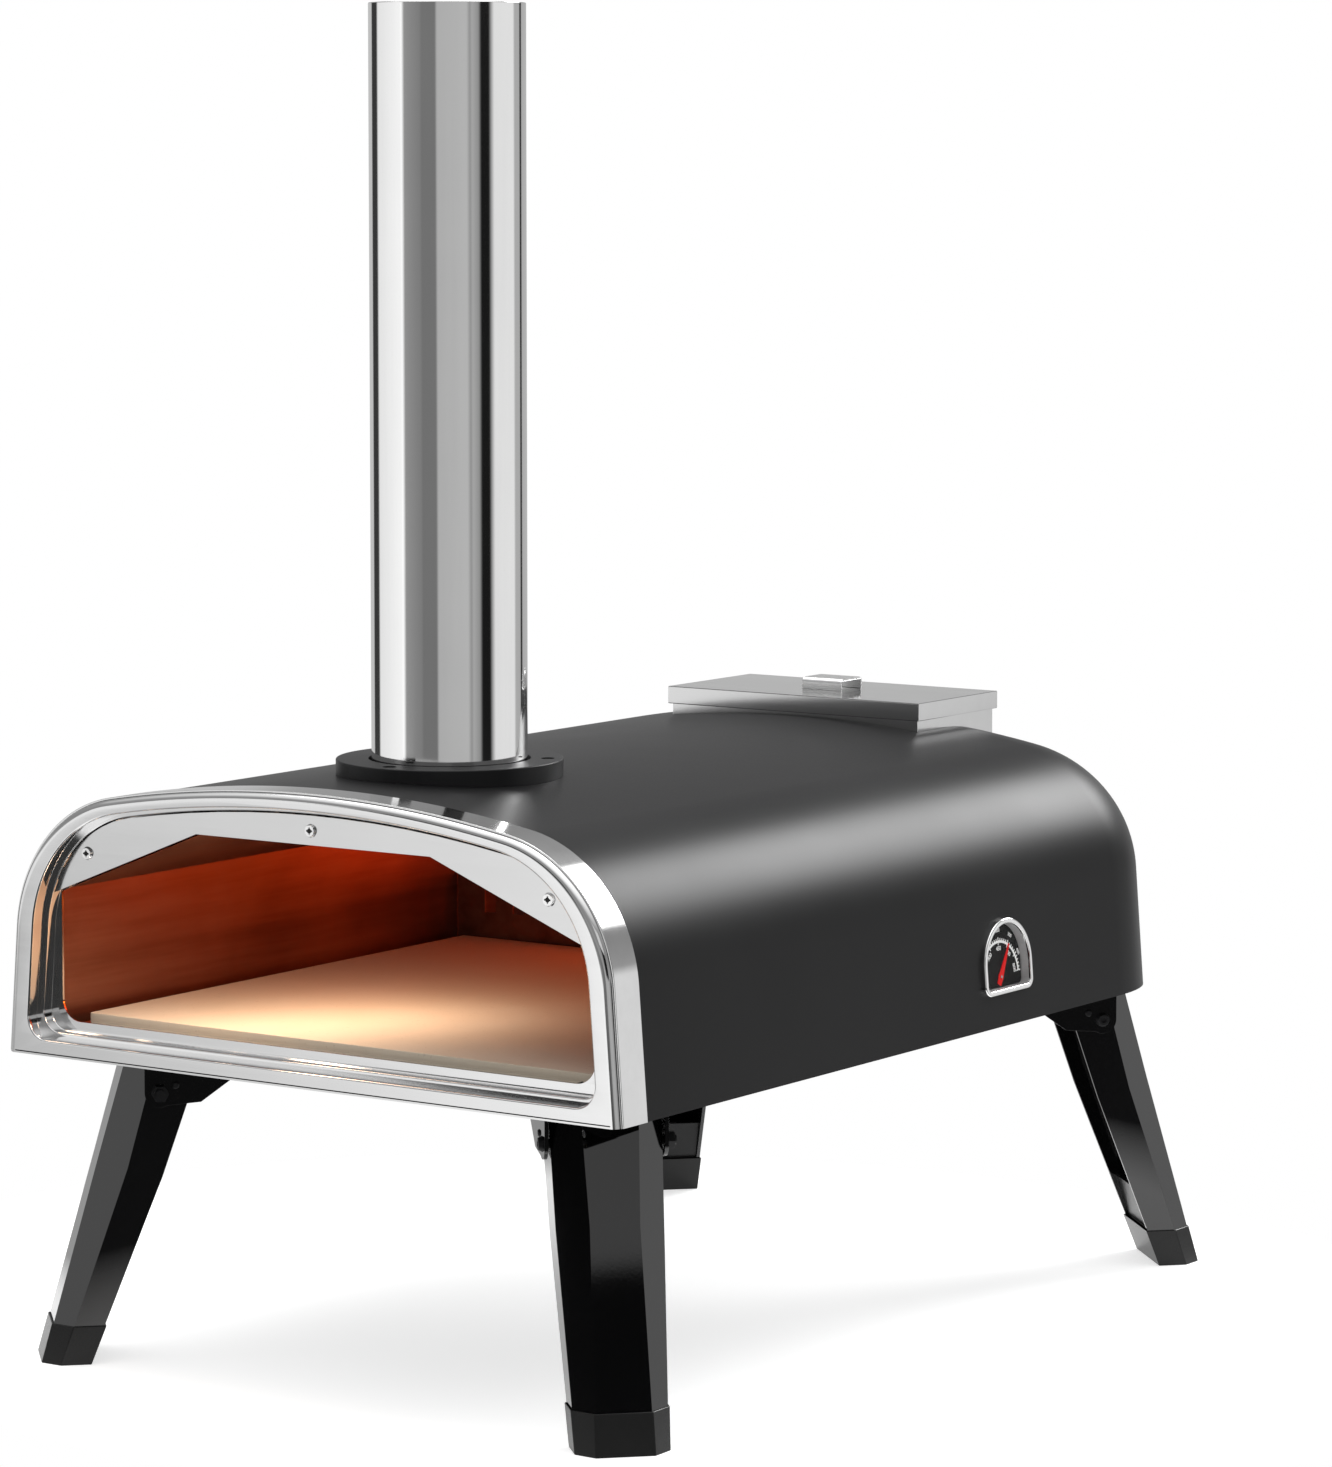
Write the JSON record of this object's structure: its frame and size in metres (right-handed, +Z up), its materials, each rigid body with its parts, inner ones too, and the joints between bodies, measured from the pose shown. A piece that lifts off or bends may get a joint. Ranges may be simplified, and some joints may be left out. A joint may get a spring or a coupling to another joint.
{
  "type": "wood fired pizza oven",
  "caption": "Portable arched black steel pizza oven on folding legs, with a steel mouth frame, front chimney, rear fuel hopper, slide-out fuel tray and a stone floor.",
  "frame": {"origin": "on the ground, at the centre of the oven's plan", "axes": "+Z up along the chimney; -Y towards the mouth, so +Y is the hopper end; +X to the oven's right as a person in front of the mouth sees it"},
  "size_m": [0.4066, 0.6039, 0.7236],
  "materials": {
    "shell_black": "satin black heat-resistant powder coat",
    "black_steel": "satin black paint",
    "leg_black": "semi-gloss black powder coat",
    "polished_steel": "polished stainless steel",
    "steel": "plain stainless sheet",
    "inner_steel": "stainless sheet darkened by heat",
    "white_screw": "white ceramic coated screw heads",
    "blanket": "white ceramic fibre blanket",
    "stone": "cordierite, matt",
    "foot_black": "matt black moulded cap",
    "dial_black": "black dial with a pale scale",
    "needle_red": "red",
    "gauge_glass": "clear flat glass"
  },
  "bodies": {
    "oven": {"outer_shell": "shell_black", "base_plate": "black_steel", "rear_panel": "black_steel", "rear_screws": "steel", "bezel_band": "polished_steel", "bezel_face": "polished_steel", "mouth_frame": "polished_steel", "baffle_panel": "steel", "baffle_screws": "white_screw", "inner_liner": "inner_steel", "insulation": "blanket", "flame_guard": "inner_steel", "stone_rails": "inner_steel", "tray_rails": "steel", "flue_collar": "steel", "chimney_flange": "black_steel", "flange_screws": "black_steel", "hopper_chute": "steel", "gauge_case": "polished_steel", "gauge_dial": "dial_black", "gauge_rim": "polished_steel", "gauge_lens": "gauge_glass", "gauge_stem": "steel", "gauge_nut": "steel", "bracket_screws": "black_steel", "detent_rivets": "black_steel", "pivot_bolts": "black_steel", "pivot_nuts": "black_steel", "bracket_front_right": "leg_black", "bracket_rear_right": "leg_black", "bracket_rear_left": "leg_black", "bracket_front_left": "leg_black"},
    "chimney": {"chimney_tube": "polished_steel"},
    "lid": {"hopper_lid": "steel", "lid_plug": "steel", "lid_handle": "polished_steel"},
    "tray": {"tray_pan": "steel", "tray_plate": "steel", "tray_handle": "steel"},
    "stone": {"pizza_stone": "stone"},
    "needle": {"gauge_needle": "needle_red"},
    "leg_front_right": {"leg_front_right": "leg_black", "foot_front_right": "foot_black"},
    "leg_rear_right": {"leg_rear_right": "leg_black", "foot_rear_right": "foot_black"},
    "leg_rear_left": {"leg_rear_left": "leg_black", "foot_rear_left": "foot_black"},
    "leg_front_left": {"leg_front_left": "leg_black", "foot_front_left": "foot_black"}
  },
  "joints": [
    {"name": "chimney_lift", "type": "slide", "parent": "oven", "child": "chimney", "axis": [0, 0, 1], "range_m": [0, 0.05]},
    {"name": "lid_lift", "type": "slide", "parent": "oven", "child": "lid", "axis": [0, 0, 1], "range_m": [0, 0.06]},
    {"name": "tray_slide", "type": "slide", "parent": "oven", "child": "tray", "axis": [0, 1, 0], "range_m": [0, 0.115]},
    {"name": "stone_lift", "type": "slide", "parent": "oven", "child": "stone", "axis": [0, 0, 1], "range_m": [0, 0.03]},
    {"name": "needle_turn", "type": "hinge", "parent": "oven", "child": "needle", "pos_m": [0.19697, 0.0715, 0.19435], "axis": [0.9971, 0, 0.0767], "range_deg": [-60, 110], "stiffness_Nm_per_rad": 0.001},
    {"name": "leg_fold_front_right", "type": "hinge", "parent": "oven", "child": "leg_front_right", "pos_m": [0.148, -0.242, 0.147], "axis": [0.7071, 0.7071, 0], "range_deg": [0, 105]},
    {"name": "leg_fold_rear_right", "type": "hinge", "parent": "oven", "child": "leg_rear_right", "pos_m": [0.148, 0.2466, 0.147], "axis": [-0.7071, 0.7071, 0], "range_deg": [0, 105]},
    {"name": "leg_fold_rear_left", "type": "hinge", "parent": "oven", "child": "leg_rear_left", "pos_m": [-0.148, 0.2466, 0.147], "axis": [-0.7071, -0.7071, 0], "range_deg": [0, 105]},
    {"name": "leg_fold_front_left", "type": "hinge", "parent": "oven", "child": "leg_front_left", "pos_m": [-0.148, -0.242, 0.147], "axis": [0.7071, -0.7071, 0], "range_deg": [0, 105]}
  ]
}
